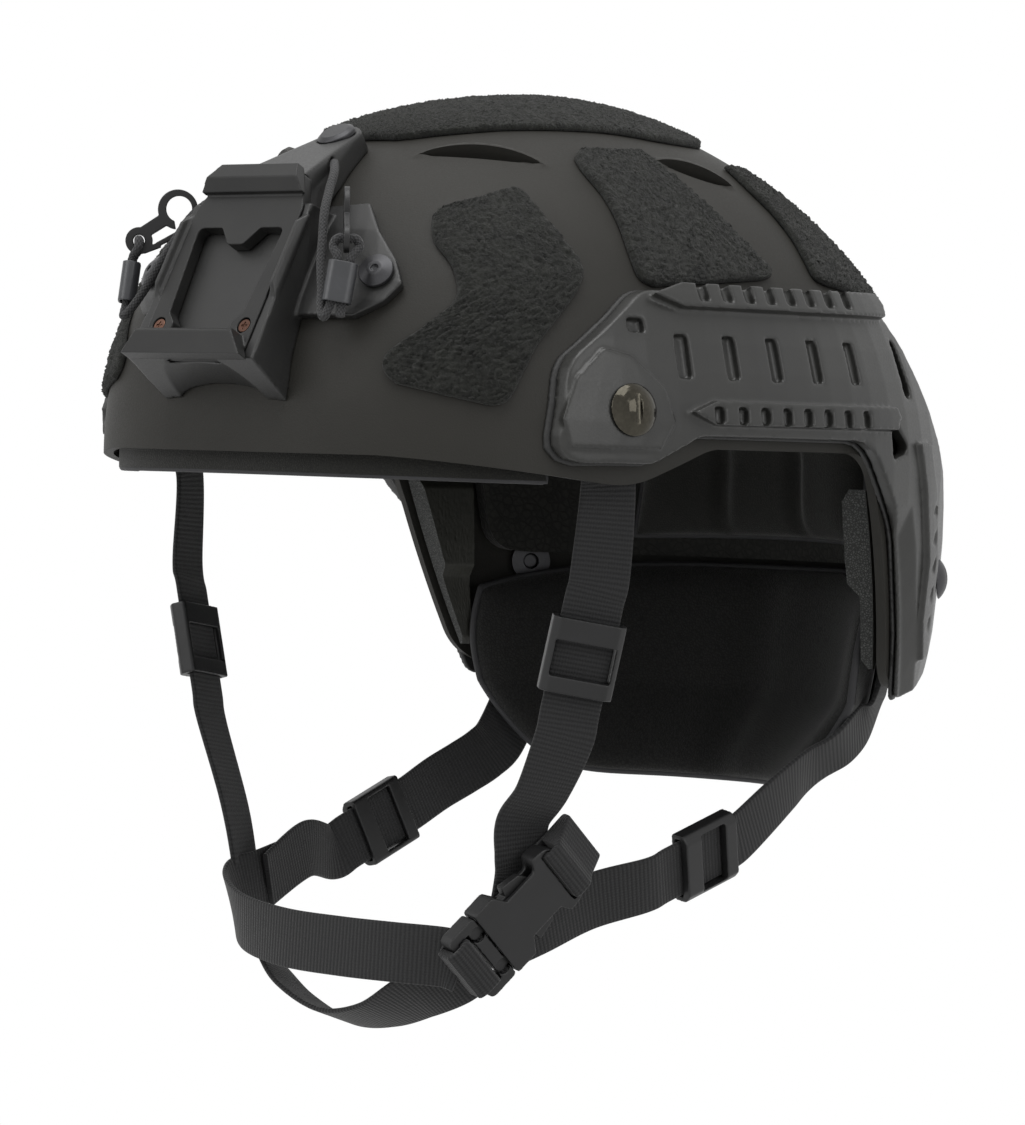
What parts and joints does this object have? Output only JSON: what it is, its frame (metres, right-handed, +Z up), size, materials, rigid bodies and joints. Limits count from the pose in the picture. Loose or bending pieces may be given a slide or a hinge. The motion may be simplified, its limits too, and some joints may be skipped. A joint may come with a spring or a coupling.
{
  "type": "combat helmet",
  "caption": "High-cut combat helmet with front device mount, side accessory rails, loop patches, padded liner, fit dial and four-point chin strap with side-release buckle.",
  "frame": {"origin": "head seat: on the crown's axis, level with the front brim", "axes": "+Z up through the crown, -Y the way the wearer faces, +X the wearer's left"},
  "size_m": [0.2446, 0.3125, 0.305],
  "materials": {
    "shell": "matte sprayed coating over a pressed fibre shell",
    "rail": "moulded nylon, fine grain",
    "gasket": "matte",
    "rail_bolt": "dark nickel, worn bright",
    "black_steel": "black coated",
    "mount": "moulded nylon, fine grain",
    "copper_screw": "copper-coloured, dull",
    "cord": "braided sheath",
    "sleeve": "smooth shrunk tube",
    "hook": "moulded acetal",
    "loop_pile": "knitted loop pile",
    "foam": "moulded bead foam",
    "pad": "brushed lining over foam",
    "spacer_mesh": "spacer mesh",
    "knob": "moulded",
    "webbing": "ribbed woven webbing",
    "buckle": "moulded acetal"
  },
  "bodies": {
    "helmet": {"shell": "shell", "rail_left": "rail", "rail_right": "rail", "gasket_left": "gasket", "gasket_right": "gasket", "rail_front_bolts": "rail_bolt", "rail_rear_bolts": "rail_bolt", "shell_nuts": "black_steel", "shroud_frame": "mount", "shroud_insert": "mount", "insert_screws": "copper_screw", "shroud_top_bolt": "black_steel", "shroud_ear_bolts": "black_steel", "bungee_left": "cord", "bungee_right": "cord", "sleeve_left": "sleeve", "sleeve_right": "sleeve", "loop_front_left": "loop_pile", "loop_front_right": "loop_pile", "loop_mid_left": "loop_pile", "loop_mid_right": "loop_pile", "loop_rear_left": "loop_pile", "loop_rear_right": "loop_pile", "loop_top": "loop_pile", "loop_back": "loop_pile", "foam_liner": "foam", "drop_pad_left": "foam", "drop_pad_right": "foam", "brow_pad": "pad", "crown_pad": "pad", "side_pad_left": "pad", "side_pad_right": "pad", "rear_pad": "pad", "guide_posts": "black_steel", "strap_front_left": "webbing", "strap_front_right": "webbing", "strap_rear_left": "webbing", "strap_rear_right": "webbing", "chin_band_upper": "webbing", "chin_band_lower": "webbing", "buckle_socket": "buckle", "buckle_plug": "buckle", "strap_tab": "webbing", "chin_fold": "webbing"},
    "yoke": {"nape_yoke": "mount", "nape_pad": "spacer_mesh", "dial_housing": "mount"},
    "dial": {"dial_knob": "knob"},
    "hook_left": {"hook_left": "hook"},
    "hook_right": {"hook_right": "hook"},
    "lock_front_left": {"lock_front_left": "buckle"},
    "lock_front_right": {"lock_front_right": "buckle"},
    "lock_rear_left": {"lock_rear_left": "buckle"},
    "lock_rear_right": {"lock_rear_right": "buckle"},
    "prong_upper": {"prong_upper": "buckle"},
    "prong_lower": {"prong_lower": "buckle"}
  },
  "joints": [
    {"name": "nape_slide", "type": "slide", "parent": "helmet", "child": "yoke", "axis": [0, -1, 0], "range_m": [0, 0.009]},
    {"name": "dial_turn", "type": "hinge", "parent": "yoke", "child": "dial", "pos_m": [0, 0.13, -0.0775], "axis": [0, 1, 0], "range_deg": [0, 360]},
    {"name": "hook_left_swing", "type": "hinge", "parent": "helmet", "child": "hook_left", "pos_m": [0.0465, -0.139, 0.0662], "axis": [0.6947, 0.7193, 0], "range_deg": [0, 40]},
    {"name": "hook_right_swing", "type": "hinge", "parent": "helmet", "child": "hook_right", "pos_m": [-0.0465, -0.139, 0.0662], "axis": [0.6947, -0.7193, 0], "range_deg": [0, 40]},
    {"name": "lock_front_left_slide", "type": "slide", "parent": "helmet", "child": "lock_front_left", "axis": [-0.2211, -0.0301, -0.9748], "range_m": [-0.008, 0.009]},
    {"name": "lock_front_right_slide", "type": "slide", "parent": "helmet", "child": "lock_front_right", "axis": [0.2799, -0.03, -0.9596], "range_m": [-0.008, 0.009]},
    {"name": "lock_rear_left_slide", "type": "slide", "parent": "helmet", "child": "lock_rear_left", "axis": [0.0603, 0.9449, 0.3217], "range_m": [-0.008, 0.003]},
    {"name": "lock_rear_right_slide", "type": "slide", "parent": "helmet", "child": "lock_rear_right", "axis": [-0.0501, 0.9314, 0.3605], "range_m": [-0.008, 0.003]},
    {"name": "prong_upper_flex", "type": "hinge", "parent": "helmet", "child": "prong_upper", "pos_m": [0.05969, -0.08767, -0.14869], "axis": [-0.9583, 0.2493, 0.1395], "range_deg": [0, 5], "stiffness_Nm_per_rad": 0.02},
    {"name": "prong_lower_flex", "type": "hinge", "parent": "helmet", "child": "prong_lower", "pos_m": [0.06096, -0.07704, -0.15891], "axis": [0.9583, -0.2493, -0.1395], "range_deg": [0, 5], "stiffness_Nm_per_rad": 0.02}
  ],
  "couplings": [
    {"joint": "dial_turn", "follows": "nape_slide", "rad_per_m": 690},
    {"joint": "prong_lower_flex", "follows": "prong_upper_flex", "ratio": 1}
  ]
}
